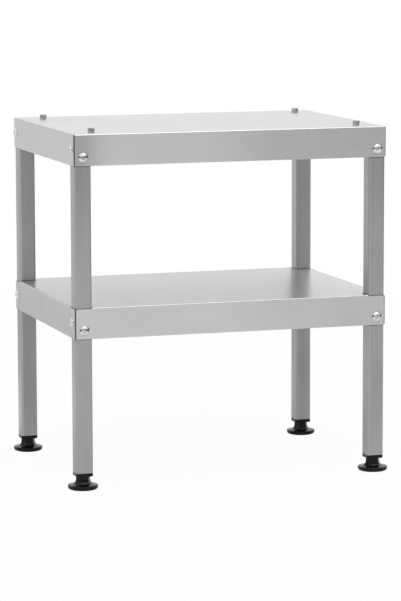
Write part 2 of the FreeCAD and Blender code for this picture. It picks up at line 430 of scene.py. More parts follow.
@dataclass(frozen=True)
class BlackMoulding(Finish):
    """Black moulded plastic with a fine eroded skin.

    Attributes:
        skin: grains of the skin a metre.
        blotches: soft blotches a metre.
        scuffs: levels of the blotches where paler scuffs start and are full.
        sheen: level of the plastic's mirror reflection.
    """

    skin: float = 2600.0
    blotches: float = 160.0
    scuffs: Pair = (0.45, 0.8)
    sheen: float = 0.2

    def lay(self, graph: ShaderGraph) -> Inputs:
        """Lays fine skin grain, soft blotches and faint scuffs.

        Args:
            graph: the material's tree.

        Returns:
            What the surface's sockets take, by their names.
        """
        place = graph.object_place()
        skin = graph.noise(place, (self.skin,) * 3, detail=3.0)
        blotches = graph.noise(place, (self.blotches,) * 3, detail=3.0)
        return {
            "Base Color": graph.shades(graph.remap(blotches, levels=self.scuffs), self.greys),
            "Roughness": graph.remap(graph.blend(blotches, skin, share=0.5), self.roughness),
            "Specular IOR Level": self.sheen,
            "Normal": graph.bump(skin, self.relief),
        }


SHEET_FINISH = BrushedSteel(
    "brushed_sheet", "tray_sheet", (0.59, 0.68), (0.27, 0.285), (0.1, 0.05 * MM), Grain.BLANK_LENGTH
)
# On the legs the darkened faces are painted shade lines where the sheets' edges meet the tubes.
TUBE_FINISH = BrushedSteel(
    "brushed_tube", "leg_tube", (0.36, 0.46), (0.32, 0.44), (0.16, 0.05 * MM), Grain.UPRIGHT, cut_edge_and_shade=0.4
)
PLATED_FINISH = PlatedSteel("bright_plating", "plated_hardware", (0.66, 0.84), (0.14, 0.26), (0.08, 0.03 * MM))
PIN_FINISH = TurnedSteel("turned_pin", "pin_steel", (0.38, 0.5), (0.1, 0.22), (0.2, 0.04 * MM))
BLACK_FINISH = BlackMoulding("glossy_moulding", "black_moulding", (0.004, 0.012), (0.08, 0.2), (0.12, 0.03 * MM))


def welded(name: str, made: bmesh.types.BMesh) -> bpy.types.Mesh:
    """Turns an edited mesh into a stored one, with its normals outwards.

    Args:
        name: name of the new mesh.
        made: the closed mesh, which is freed.

    Returns:
        The new mesh, shaded smooth.
    """
    bmesh.ops.recalc_face_normals(made, faces=made.faces)
    mesh = bpy.data.meshes.new(name)
    made.to_mesh(mesh)
    made.free()
    mesh.shade_smooth()
    return mesh


def loft(name: str, loops: Sequence[Loop], ends: Ends) -> bpy.types.Mesh:
    """Closed skin through loops that have the same number of points.

    Args:
        name: name of the new mesh.
        loops: the loops in order, each a ring of points.
        ends: whether the end loops are capped, or joined to each other.

    Returns:
        The new mesh.
    """
    made = bmesh.new()
    rings = [[made.verts.new(point) for point in loop] for loop in loops]
    pairs = list(zip(rings, rings[1:]))
    if ends is Ends.JOINED:
        pairs.append((rings[-1], rings[0]))
    else:
        made.faces.new(rings[0])
        made.faces.new(rings[-1])
    for low, high in pairs:
        for index in range(len(low)):
            following = (index + 1) % len(low)
            made.faces.new((low[index], low[following], high[following], high[index]))
    return welded(name, made)


def arc(centre: Pair, reach: Pair, start: float, end: float, steps: int) -> list[Pair]:
    """Points on part of an ellipse, both ends among them.

    Args:
        centre: middle of the ellipse.
        reach: its two half widths.
        start: angle of the first point, in degrees.
        end: angle of the last point, in degrees.
        steps: number of spans between the points.

    Returns:
        The points.
    """
    points = []
    for step in range(steps + 1):
        angle = math.radians(start + (end - start) * step / steps)
        points.append((centre[0] + reach[0] * math.cos(angle), centre[1] + reach[1] * math.sin(angle)))
    return points


def circle(radius: float, height: float, count: int, hexagonal: float = 0.0) -> Loop:
    """Ring of points about Z.

    Args:
        radius: radius, or half the width across flats of a hexagon.
        height: Z of the ring.
        count: number of points.
        hexagonal: from 0, a circle, to 1, a hexagon with two corners on X.

    Returns:
        The ring's points.
    """
    points = []
    for index in range(count):
        angle = 2 * math.pi * index / count
        from_flat = angle % (math.pi / 3) - math.pi / 6
        reach = radius * (1 + hexagonal * (1 / math.cos(from_flat) - 1))
        points.append(Vector((reach * math.cos(angle), reach * math.sin(angle), height)))
    return points


def circles(rings: Sequence[Pair], count: int) -> list[Loop]:
    """Rings of points about Z, from their radii and heights."""
    return [circle(radius, height, count) for radius, height in rings]


def rounded_square(side: float, corner: float, height: float, per_corner: int) -> Loop:
    """Ring of points round a square with rounded corners.

    Args:
        side: width of the square.
        corner: radius of its corners.
        height: Z of the ring.
        per_corner: points on each corner.

    Returns:
        The ring's points.
    """
    points = []
    reach = side / 2 - corner
    for quarter in range(4):
        turn = Matrix.Rotation(quarter * math.pi / 2, 3, "Z")
        for x, y in arc((reach, reach), (corner, corner), 0.0, 90.0, per_corner - 1):
            points.append(turn @ Vector((x, y, height)))
    return points


def quad(name: str, size: Pair) -> bpy.types.Mesh:
    """Flat four-sided mesh about the origin that faces up.

    Args:
        name: name of the new mesh.
        size: its width and length.

    Returns:
        The new mesh.
    """
    width, length = size
    mesh = bpy.data.meshes.new(name)
    mesh.from_pydata([(x * width / 2, y * length / 2, 0.0) for x, y in SQUARE], [], [(0, 1, 2, 3)])
    return mesh


def held(mesh: bpy.types.Mesh) -> bpy.types.Object:
    """Puts a mesh into the scene.

    Args:
        mesh: the mesh.

    Returns:
        The object that holds it.
    """
    holder = bpy.data.objects.new(mesh.name, mesh)
    bpy.context.scene.collection.objects.link(holder)
    return holder


def realised(holder: bpy.types.Object) -> bpy.types.Mesh:
    """Plain mesh of an object with its modifiers applied; the object is removed.

    Args:
        holder: the object to apply.

    Returns:
        The new mesh.
    """
    graph = bpy.context.evaluated_depsgraph_get()
    name, source = holder.name, holder.data
    shown = holder.evaluated_get(graph)
    mesh = bpy.data.meshes.new_from_object(shown, preserve_all_data_layers=True, depsgraph=graph)
    bpy.data.objects.remove(holder)
    bpy.data.meshes.remove(source)
    mesh.name = name
    return mesh


def edged(mesh: bpy.types.Mesh, width: float, segments: int = 2, limit: float = 45.0) -> bpy.types.Mesh:
    """Softens a mesh's sharp edges, and keeps its flat faces flat to the light.

    Args:
        mesh: the closed mesh, which is used up.
        width: width of the softened edge.
        segments: faces across the softened edge.
        limit: least angle between faces that counts as an edge, in degrees.

    Returns:
        The softened mesh.
    """
    holder = held(mesh)
    bevel = holder.modifiers.new("edge", "BEVEL")
    bevel.width = width
    bevel.segments = segments
    bevel.limit_method = "ANGLE"
    bevel.angle_limit = math.radians(limit)
    holder.modifiers.new("shade", "WEIGHTED_NORMAL").keep_sharp = True
    return realised(holder)


def moved(mesh: bpy.types.Mesh, place: Vector) -> bpy.types.Mesh:
    """The mesh, shifted by a vector."""
    mesh.transform(Matrix.Translation(place))
    return mesh


def settle(
    mesh: bpy.types.Mesh, name: str, body: str, finish: Finish, nodes: Sequence[str], dressed: bool = False
) -> None:
    """Makes a finished mesh a piece of the stand.

    Args:
        mesh: the mesh, in its place in the CAD frame.
        name: the piece's name.
        body: CAD body that it rides on.
        finish: its finish.
        nodes: CAD nodes that it stands for.
        dressed: whether the mesh has its material already.
    """
    if not dressed:
        mesh.materials.clear()
        mesh.materials.append(finish.material())
    mesh.name = name
    piece = held(mesh)
    piece.name = name
    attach(piece, body)
    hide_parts(*nodes)
    log.info("%s: %d faces, on %s, for %s", name, len(mesh.polygons), body, ", ".join(nodes))


class Skin:
    """Outer skin of a folded sheet: welded points, each with its normal and its place on the flat blank."""

    def __init__(self) -> None:
        """Starts with no points."""
        self.numbers: dict[tuple, int] = {}
        self.points: list[SkinPoint] = []
        self.faces: list[list[int]] = []

    def face(self, points: Sequence[SkinPoint]) -> None:
        """Adds a face, welded to what is there.

        Args:
            points: place, outward normal and blank place of each of its points.
        """
        indices = []
        for point in points:
            key = tuple(round(value, WELD_DIGITS) for value in point[0])
            if key not in self.numbers:
                self.numbers[key] = len(self.points)
                self.points.append(point)
            indices.append(self.numbers[key])
        self.faces.append(indices)

    def rim(self) -> Iterator[tuple[int, int]]:
        """Finds the skin's open edges.

        Returns:
            The points of each edge that belongs to one face only.
        """
        used: dict[tuple[int, int], int] = {}
        for indices in self.faces:
            for edge in zip(indices, indices[1:] + indices[:1]):
                key = (min(edge), max(edge))
                used[key] = used.get(key, 0) + 1
        return (edge for edge, count in used.items() if count == 1)

    def solid(self, name: str, thickness: float, dull: float) -> bpy.types.Mesh:
        """Closes the skin into a sheet of even thickness.

        Args:
            name: name of the new mesh.
            thickness: the sheet's thickness, laid inwards.
            dull: how dull its sheared edges are, from 0 to 1.

        Returns:
            The new mesh, with the flat blank as its UV map.
        """
        made = bmesh.new()
        outer = [made.verts.new(place) for place, _, _ in self.points]
        inner = [made.verts.new(place - thickness * normal) for place, normal, _ in self.points]
        for indices in self.faces:
            made.faces.new([outer[index] for index in indices])
            made.faces.new([inner[index] for index in reversed(indices)])
        cut = made.faces.layers.float.new(CUT_AND_SHADE)
        for first, second in self.rim():
            made.faces.new((outer[first], inner[first], inner[second], outer[second]))[cut] = dull
        made.verts.index_update()
        blank = made.loops.layers.uv.new(BLANK_MAP)
        for face in made.faces:
            for corner in face.loops:
                corner[blank].uv = self.points[corner.vert.index % len(self.points)][2].xy
        return welded(name, made)


@dataclass
class FoldedSheet:
    """A panel with four aprons bent down from it, open at the corners.

    Attributes:
        node: CAD node that gives its outer box.
        notch: side of the square cut out of each corner for the legs, or 0.
        dull: how dull the sheared edges are, from 0 to 1.
        sheet: thickness of the sheet.
        bend: outer radius of the bends, which is also the open seam at the corners.
        apron_corner: radius of the aprons' free corners.
        notch_corner: radius in the corner of a notch.
        edge: width of the broken edge round the sheet.
        bend_steps: faces across a bend.
        corner_steps: faces across a rounded corner.
    """

    node: str
    notch: float = 0.0
    dull: float = 1.0
    sheet: float = 1.0 * MM
    bend: float = 1.5 * MM
    apron_corner: float = 2.5 * MM
    notch_corner: float = 1.5 * MM
    edge: float = 0.2 * MM
    bend_steps: int = 6
    corner_steps: int = 5

    def __post_init__(self) -> None:
        """Reads the outer sizes from the CAD node."""
        low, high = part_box(self.node)
        self.half_x, self.half_y, self.top = high
        self.foot = low.z

    def build(self) -> None:
        """Builds the sheet and dresses it."""
        skin = Skin()
        self.lay_panel(skin)
        for quarter in range(4):
            self.lay_side(skin, quarter)
        mesh = edged(skin.solid(self.node, self.sheet, self.dull), self.edge)
        settle(mesh, f"{self.node}_folded", ROOT_BODY, SHEET_FINISH, [self.node])

    def lay_panel(self, skin: Skin) -> None:
        """Adds the flat panel, with its corners notched where it has notches.

        Args:
            skin: the sheet's skin.
        """
        reach_x = self.half_x - self.bend
        reach_y = self.half_y - self.bend
        corner = [(reach_x, reach_y)]
        if self.notch:
            cut_x = self.half_x - self.sheet - self.notch
            cut_y = self.half_y - self.sheet - self.notch
            centre = (cut_x + self.notch_corner, cut_y + self.notch_corner)
            corner = [(reach_x, cut_y), *self.corner(centre, self.notch_corner, 270.0), (cut_x, reach_y)]
        outline = []
        for sign_x, sign_y in SQUARE:
            ordered = corner if sign_x * sign_y > 0 else corner[::-1]
            outline += [(sign_x * x, sign_y * y) for x, y in ordered]
        skin.face([(Vector((x, y, self.top)), UP, Vector((x, y, 0))) for x, y in outline])

    def corner(self, centre: Pair, radius: float, start: float) -> list[Pair]:
        """Points on a quarter circle, clockwise from a start angle in degrees."""
        return arc(centre, (radius, radius), start, start - 90.0, self.corner_steps)

    def lay_side(self, skin: Skin, quarter: int) -> None:
        """Adds one bend and its apron.

        Args:
            skin: the sheet's skin.
            quarter: quarter turns from the right-hand side.
        """
        turn = Matrix.Rotation(quarter * math.pi / 2, 3, "Z")
        span, reach = (self.half_x, self.half_y) if quarter % 2 == 0 else (self.half_y, self.half_x)
        half = reach - self.bend
        fold = reach - self.sheet - self.notch if self.notch else half
        high = self.top - self.bend
        flat = span - self.bend

        def turned(place: Vector, normal: Vector, unrolled: float, along: float) -> SkinPoint:
            """A point of the right-hand side, turned to this side."""
            return turn @ place, turn @ normal, turn @ Vector((unrolled, along, 0))

        def on_bend(angle: float, along: float) -> SkinPoint:
            """Point on the bend at an angle from the panel."""
            normal = Vector((math.sin(angle), 0, math.cos(angle)))
            return turned(Vector((flat, along, high)) + self.bend * normal, normal, flat + self.bend * angle, along)

        def on_apron(along: float, height: float) -> SkinPoint:
            """Point on the apron's face."""
            unrolled = flat + self.bend * math.pi / 2 + high - height
            return turned(Vector((span, along, height)), Vector((1, 0, 0)), unrolled, along)

        angles = [math.pi / 2 * step / self.bend_steps for step in range(self.bend_steps + 1)]
        for first, second in zip(angles, angles[1:]):
            skin.face([on_bend(first, -fold), on_bend(second, -fold), on_bend(second, fold), on_bend(first, fold)])

        inset = half - self.apron_corner
        low = self.foot + self.apron_corner
        tab = high - self.apron_corner
        corners = [(inset, low, 0.0), (-inset, low, 270.0)]
        if self.notch:
            corners = [(inset, tab, 90.0), *corners, (-inset, tab, 180.0)]
        outline = [(-fold, high), (fold, high)]
        for along, height, start in corners:
            outline += self.corner((along, height), self.apron_corner, start)
        skin.face([on_apron(along, height) for along, height in outline])


@dataclass
class TubeLegs:
    """The four square-tube legs.

    Attributes:
        wall: thickness of the tube.
        corner: outer radius of the tube's corners.
        inner_corner: inner radius of the tube's corners.
        edge: width of the broken edge at the sawn ends.
        per_corner: points on each corner.
        contact_shade: width of the painted shade line on the outer faces along the sheets' edges.
        bend: outer radius of the sheets' bends, which is how far the shelf's tabs stand below it.
    """

    wall: float = 1.5 * MM
    corner: float = 3.0 * MM
    inner_corner: float = 0.5 * MM
    edge: float = 0.15 * MM
    per_corner: int = 7
    contact_shade: float = 1.0 * MM
    bend: float = 1.5 * MM

    def build(self) -> None:
        """Builds each leg and dresses it."""
        top_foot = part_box("top_tray")[0].z
        shelf_low, shelf_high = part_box("lower_shelf")
        # Painted shade: thin dark lines on the tube where the sheets' edges lie against it.
        feet = (shelf_low.z - self.contact_shade, shelf_high.z - self.bend, top_foot - self.contact_shade)
        outer_shade_lines = [(height, height + self.contact_shade) for height in feet]
        inner_shade_lines = [(shelf_high.z, shelf_high.z + self.contact_shade)]
        levels = sorted({height for line in outer_shade_lines + inner_shade_lines for height in line})
        for corner in Corner:
            node = corner.named("leg")
            low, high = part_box(node)
            middle = (low + high) / 2
            mesh = self.tube(node, high.x - low.x, [low.z, *levels, high.z])
            outward = Vector((*corner.value, 0.0))
            self.paint_contact_shade(mesh, outer_shade_lines, outward)
            self.paint_contact_shade(mesh, inner_shade_lines, -outward)
            mesh = moved(edged(mesh, self.edge), Vector((middle.x, middle.y, 0.0)))
            settle(mesh, f"{node}_tube", ROOT_BODY, TUBE_FINISH, [node])

    def tube(self, name: str, side: float, heights: Sequence[float]) -> bpy.types.Mesh:
        """A length of tube about Z.

        Args:
            name: name of the new mesh.
            side: outer width.
            heights: where the outer faces are divided, from the lower end to the upper.

        Returns:
            The new mesh.
        """
        bore = side - 2 * self.wall
        loops = [rounded_square(side, self.corner, height, self.per_corner) for height in heights]
        for height in (heights[-1], heights[0]):
            loops.append(rounded_square(bore, self.inner_corner, height, self.per_corner))
        return loft(name, loops, Ends.JOINED)

    def paint_contact_shade(self, mesh: bpy.types.Mesh, lines: Sequence[Pair], side: Vector) -> None:
        """Marks the lines where the sheets' edges lie against the tube, which are darkened as painted shade.

        Args:
            mesh: the tube.
            lines: lower and upper height of each line.
            side: direction of the faces that they lie on.
        """
        marks = mesh.attributes.get(CUT_AND_SHADE) or mesh.attributes.new(CUT_AND_SHADE, "FLOAT", "FACE")
        for face, mark in zip(mesh.polygons, marks.data):
            if face.normal.dot(side) > 0.0 and any(low < face.center.z < high for low, high in lines):
                mark.value = 1.0


class FormTree(Graph):
    """A Geometry Nodes tree with named inputs, which gives one real mesh in one finish."""

    GEOMETRY = "Geometry"
    FINISH = "Finish"

    def __init__(self, name: str, inputs: dict[str, str]) -> None:
        """Starts the tree.

        Args:
            name: the tree's name.
            inputs: kinds of its inputs by name, apart from its geometry and finish.
        """
        super().__init__(bpy.data.node_groups.new(name, "GeometryNodeTree"))
        face = self.tree.interface
        for label, kind in {self.GEOMETRY: "Geometry", **inputs, self.FINISH: "Material"}.items():
            face.new_socket(label, in_out="INPUT", socket_type=f"NodeSocket{kind}")
        face.new_socket(self.GEOMETRY, in_out="OUTPUT", socket_type="NodeSocketGeometry")
        self.given = self.add("NodeGroupInput").outputs

    def close(self, geometry: Socket) -> None:
        """Ends the tree: instances made real, and the finish set.

        Args:
            geometry: socket of the form.
        """
        real = self.add("GeometryNodeRealizeInstances", {"Geometry": geometry}).outputs["Geometry"]
        coated = self.add("GeometryNodeSetMaterial", {"Geometry": real, "Material": self.given[self.FINISH]})
        self.add("NodeGroupOutput", {self.GEOMETRY: coated.outputs["Geometry"]})

    def grow(self, mesh: bpy.types.Mesh, inputs: dict[str, object], finish: Finish) -> bpy.types.Mesh:
        """Runs the tree on a mesh.

        Args:
            mesh: the mesh that goes in, which is used up.
            inputs: values of the tree's inputs by name.
            finish: finish of the form.

        Returns:
            The plain mesh that comes out.
        """
        values = {**inputs, self.FINISH: finish.material()}
        holder = bpy.data.objects.new(mesh.name, mesh)
        modifier = holder.modifiers.new(self.tree.name, "NODES")
        modifier.node_group = self.tree
        for item in self.tree.interface.items_tree:
            if item.in_out == "INPUT" and item.name in values:
                modifier[item.identifier] = values[item.name]
        bpy.context.scene.collection.objects.link(holder)
        return realised(holder)


class SetOut(FormTree):
    """Tree that sets a master form on points, each along its point's outward attribute."""

    MASTER = "Master"
    SPREAD = "Turn spread"
    SEED = "Seed"

    def __init__(self) -> None:
        """Builds the tree."""
        super().__init__("set_out", {self.MASTER: "Object", self.SPREAD: "Float", self.SEED: "Int"})
        outward = self.add("GeometryNodeInputNamedAttribute", {"Name": OUTWARD}, data_type="FLOAT_VECTOR")
        aligned = self.add("FunctionNodeAlignRotationToVector", {"Vector": outward.outputs["Attribute"]}, axis="Z")
        chance = self.add("FunctionNodeRandomValue", data_type="FLOAT")
        limits = {socket.name: socket for socket in chance.inputs if socket.enabled}
        self.feed(limits["Max"], self.given[self.SPREAD])
        self.feed(limits["Seed"], self.given[self.SEED])
        angle = next(socket for socket in chance.outputs if socket.enabled)
        spin = self.add("FunctionNodeAxisAngleToRotation", {"Axis": tuple(UP), "Angle": angle})
        turned = self.add("FunctionNodeRotateRotation", {
            "Rotation": aligned.outputs["Rotation"], "Rotate By": spin.outputs["Rotation"],
        }, rotation_space="LOCAL")
        master = self.add("GeometryNodeObjectInfo", {"Object": self.given[self.MASTER]})
        placed = self.add("GeometryNodeInstanceOnPoints", {
            "Points": self.given[self.GEOMETRY],
            "Instance": master.outputs["Geometry"],
            "Rotation": turned.outputs["Rotation"],
        })
        self.close(placed.outputs["Instances"])

    def run(
        self, name: str, master: bpy.types.Object, seats: Sequence[Seat], spread: float, seed: int, finish: Finish
    ) -> bpy.types.Mesh:
        """Sets the master on some seats.

        Args:
            name: name of the new mesh.
            master: the form, seated on the XY plane with Z outwards.
            seats: place and outward direction of each copy.
            spread: largest turn of a copy about its axis, in radians.
            seed: seed of the turns.
            finish: finish of the copies.

        Returns:
            One mesh with all the copies.
        """
        points = bpy.data.meshes.new(name)
        points.from_pydata([place for place, _ in seats], [], [])
        directions = points.attributes.new(OUTWARD, "FLOAT_VECTOR", "POINT")
        for row, (_, outward) in zip(directions.data, seats):
            row.vector = outward
        return self.grow(points, {self.MASTER: master, self.SPREAD: spread, self.SEED: seed}, finish)


@dataclass
class ApronScrews:
    """The pan-head screws that hold the aprons to the legs.

    Attributes:
        head: radius of the head.
        rim: height of the head's straight rim.
        height: height of the head.
        edge: width of the head's broken edges.
        shank: radius of the shank.
        point: length of the shank's chamfered end.
        length: length of the shank.
        wing: reach of the cross recess at the crown.
        wing_foot: reach of the recess at its bottom.
        slot: half width of the recess at the crown.
        slot_foot: half width of the recess at its bottom.
        depth: depth of the recess.
        count: points round the screw.
        dome_steps: faces up the dome.
        crease: least angle between faces that stays sharp, in degrees.
        spread: largest turn of a screw, in radians.
        seed: seed of the turns.
    """

    head: float = 6.0 * MM
    rim: float = 0.9 * MM
    height: float = 3.4 * MM
    edge: float = 0.18 * MM
    shank: float = 3.0 * MM
    point: float = 1.0 * MM
    length: float = 13.0 * MM
    wing: float = 3.9 * MM
    wing_foot: float = 1.2 * MM
    slot: float = 0.85 * MM
    slot_foot: float = 0.45 * MM
    depth: float = 2.6 * MM
    count: int = 48
    dome_steps: int = 8
    crease: float = 32.0
    spread: float = math.pi / 2
    seed: int = 11

    def build(self, tree: SetOut) -> None:
        """Builds the screws of each row and dresses them.

        Args:
            tree: the tree that sets them out.
        """
        master = self.master()
        for index, node in enumerate(sorted(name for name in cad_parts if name.endswith("_screws"))):
            mesh = tree.run(node, master, self.seats(node), self.spread, self.seed + index, PLATED_FINISH)
            settle(mesh, f"{node}_cross_recess", ROOT_BODY, PLATED_FINISH, [node], dressed=True)
        bpy.data.objects.remove(master)

    def seats(self, node: str) -> list[Seat]:
        """Seats of one row's screws.

        Args:
            node: CAD node of the row.

        Returns:
            Place and outward direction of each screw.
        """
        low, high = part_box(node)
        on_side = "side" in node
        inset_x, inset_y = (self.height, self.head) if on_side else (self.head, self.height)
        seats = []
        for sign_x, sign_y in (corner.value for corner in Corner):
            place = Vector((sign_x * (high.x - inset_x), sign_y * (high.y - inset_y), (low.z + high.z) / 2))
            seats.append((place, Vector((sign_x, 0, 0) if on_side else (0, sign_y, 0))))
        return seats

    def master(self) -> bpy.types.Object:
        """Makes one screw with its head seated on the XY plane.

        Returns:
            The screw, for the set-out tree to read and not rendered.
        """
        rise = self.height - self.rim
        radius = (self.head ** 2 + rise ** 2) / (2 * rise)
        sweep = math.degrees(math.asin(self.head / radius))
        centre = (0.0, self.height - radius)
        rings = [
            (self.shank - self.point, -self.length), (self.shank, self.point - self.length), (self.shank, 0.0),
            (self.head - self.edge, 0.0), (self.head, self.edge), (self.head, self.rim - self.edge),
            *arc(centre, (radius, radius), 90.0 - sweep, 90.0, self.dome_steps)[1:-1],
        ]
        screw = held(loft("screw", circles(rings, self.count), Ends.CAPPED))
        cutters = [self.blade(turn) for turn in (0.0, math.pi / 2)]
        for cutter in cutters:
            cut = screw.modifiers.new("recess", "BOOLEAN")
            cut.object = cutter
            cut.operation = "DIFFERENCE"
            cut.solver = "EXACT"
        made = realised(screw)
        for cutter in cutters:
            bpy.data.objects.remove(cutter)
        made.set_sharp_from_angle(angle=math.radians(self.crease))
        # Faces inside the cross recess are marked for painted shade.
        marks = made.attributes.new(CUT_AND_SHADE, "FLOAT", "FACE")
        below_recess = self.height - self.depth - self.edge
        for face, mark in zip(made.polygons, marks.data):
            under_dome = (face.center - Vector((0.0, *centre))).length < radius - self.edge
            mark.value = float(under_dome and face.center.z > below_recess)
        master = held(made)
        master.hide_render = True
        return master

    def blade(self, turn: float) -> bpy.types.Object:
        """One tapered blade of the cross that cuts the recess.

        Args:
            turn: angle of the blade about the screw.

        Returns:
            The cutter, which stands as far above the crown as it reaches below.
        """
        loops = []
        for reach, half, z in (
            (self.wing_foot, self.slot_foot, self.height - self.depth),
            (2 * self.wing - self.wing_foot, 2 * self.slot - self.slot_foot, self.height + self.depth),
        ):
            loops.append([Vector((x * reach, y * half, z)) for x, y in SQUARE])
        mesh = loft("blade", loops, Ends.CAPPED)
        mesh.transform(Matrix.Rotation(turn, 4, "Z"))
        return held(mesh)


@dataclass
class LocatingPins:
    """The turned pins, pressed up through the top from under it.

    Attributes:
        radius: radius of a pin.
        height: height of a pin above the top.
        chamfer: width of its chamfered end.
        neck: radius of the relieved neck in the sheet.
        head: radius of the head under the sheet.
        head_height: thickness of the head.
        sheet: thickness of the top's sheet.
        edge: width of its broken edges.
        edge_limit: least angle between faces that has a broken edge, in degrees.
        count: points round a pin.
        spread: largest turn of a pin, in radians.
        seed: seed of the turns.
    """

    radius: float = 4.5 * MM
    height: float = 6.0 * MM
    chamfer: float = 0.4 * MM
    neck: float = 4.25 * MM
    head: float = 6.0 * MM
    head_height: float = 1.5 * MM
    sheet: float = 1.0 * MM
    edge: float = 0.12 * MM
    edge_limit: float = 30.0
    count: int = 48
    spread: float = math.pi
    seed: int = 3

    def build(self, tree: SetOut) -> None:
        """Builds the pins and dresses them.

        Args:
            tree: the tree that sets them out.
        """
        nodes = [corner.named("locating_pin") for corner in Corner]
        seats = []
        for node in nodes:
            low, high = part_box(node)
            middle = (low + high) / 2
            seats.append((Vector((middle.x, middle.y, high.z - self.height)), UP))
        under = -self.sheet
        rings = [
            (self.head, under - self.head_height), (self.head, under), (self.neck, under), (self.neck, 0.0),
            (self.radius, 0.0), (self.radius, self.height - self.chamfer),
            (self.radius - self.chamfer, self.height),
        ]
        form = loft("pin", circles(rings, self.count), Ends.CAPPED)
        master = held(edged(form, self.edge, limit=self.edge_limit))
        mesh = tree.run("pins", master, seats, self.spread, self.seed, PIN_FINISH)
        bpy.data.objects.remove(master)
        settle(mesh, "locating_pins_turned", ROOT_BODY, PIN_FINISH, nodes, dressed=True)


class ThreadedRod(FormTree):
    """Tree of a threaded stud with a round head, standing on the XY plane."""

    RADIUS = "Radius"
    LENGTH = "Length"
    PITCH = "Pitch"
    DEPTH = "Thread depth"
    HEAD = "Head radius"
    HEAD_HEIGHT = "Head height"
    ROWS = "Rows"
    SIDES = 32

    def __init__(self) -> None:
        """Builds the tree."""
        sizes = (self.RADIUS, self.LENGTH, self.PITCH, self.DEPTH, self.HEAD, self.HEAD_HEIGHT)
        super().__init__("threaded_rod", {**dict.fromkeys(sizes, "Float"), self.ROWS: "Int"})
        radius, length, pitch, depth, head, head_height = (self.given[name] for name in sizes)

        position = self.add("GeometryNodeInputPosition").outputs["Position"]
        x, y, z = self.add("ShaderNodeSeparateXYZ", {"Vector": position}).outputs
        angle = self.maths("DIVIDE", self.maths("ARCTAN2", y, x), 2 * math.pi)
        phase = self.maths("SUBTRACT", self.maths("DIVIDE", z, pitch), angle)
        groove = self.maths("MULTIPLY", self.maths("PINGPONG", phase, 0.5), 2.0)
        from_end = self.maths("SUBTRACT", self.maths("MULTIPLY", length, 0.5), self.maths("ABSOLUTE", z))
        chamfer = self.maths("SUBTRACT", 1.0, self.maths("DIVIDE", from_end, pitch))
        cut = self.maths("MULTIPLY", self.maths("MAXIMUM", groove, chamfer), depth)
        scale = self.maths("SUBTRACT", 1.0, self.maths("DIVIDE", cut, radius))
        place = self.add("ShaderNodeCombineXYZ", {
            "X": self.maths("MULTIPLY", x, scale), "Y": self.maths("MULTIPLY", y, scale), "Z": z,
        })
        threaded = self.add("GeometryNodeSetPosition", {
            "Geometry": self.cylinder(radius, length, self.given[self.ROWS]), "Position": place.outputs["Vector"],
        })

        joined = self.add("GeometryNodeJoinGeometry")
        for form, height in (
            (threaded.outputs["Geometry"], length),
            (self.cylinder(head, head_height, 1), head_height),
        ):
            self.feed(joined.inputs["Geometry"], self.stood(form, height))
        self.close(joined.outputs["Geometry"])

    def cylinder(self, radius: Socket, length: Socket, rows: Value) -> Socket:
        """Mesh of a cylinder about the origin, with rows of faces along it."""
        sizes = {"Vertices": self.SIDES, "Side Segments": rows, "Radius": radius, "Depth": length}
        return self.add("GeometryNodeMeshCylinder", sizes, fill_type="NGON").outputs["Mesh"]

    def stood(self, form: Socket, height: Socket) -> Socket:
        """Lifts a form of some height from the middle to stand on the XY plane."""
        lift = self.add("ShaderNodeCombineXYZ", {"Z": self.maths("MULTIPLY", height, 0.5)}).outputs["Vector"]
        return self.add("GeometryNodeTransform", {"Geometry": form, "Translation": lift}).outputs["Geometry"]


